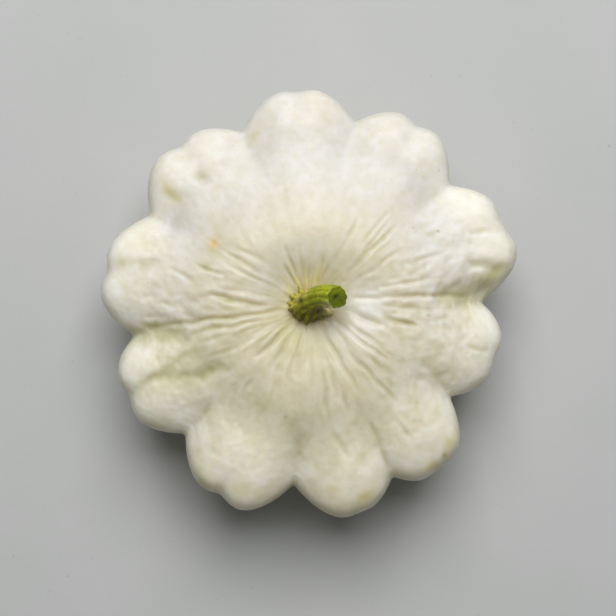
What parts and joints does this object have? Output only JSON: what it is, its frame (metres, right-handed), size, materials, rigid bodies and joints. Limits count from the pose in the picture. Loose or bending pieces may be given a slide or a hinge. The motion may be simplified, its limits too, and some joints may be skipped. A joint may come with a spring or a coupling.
{
  "type": "pattypan squash",
  "caption": "White pattypan squash with a scalloped rim, a creased top and a short curved green stem in its dimple.",
  "frame": {"origin": "middle of the bounding box in X and Y, on the surface that the squash lies on", "axes": "+Z up along the fruit's axis towards the stem, +X right and +Y up in the picture, which looks straight down"},
  "size_m": [0.1556, 0.16, 0.0758],
  "materials": {
    "skin": "satin cream-white squash skin",
    "stem": "matt ribbed green stem with a fresh cut end"
  },
  "bodies": {
    "root": {"fruit": "skin", "stem": "stem"}
  },
  "joints": []
}
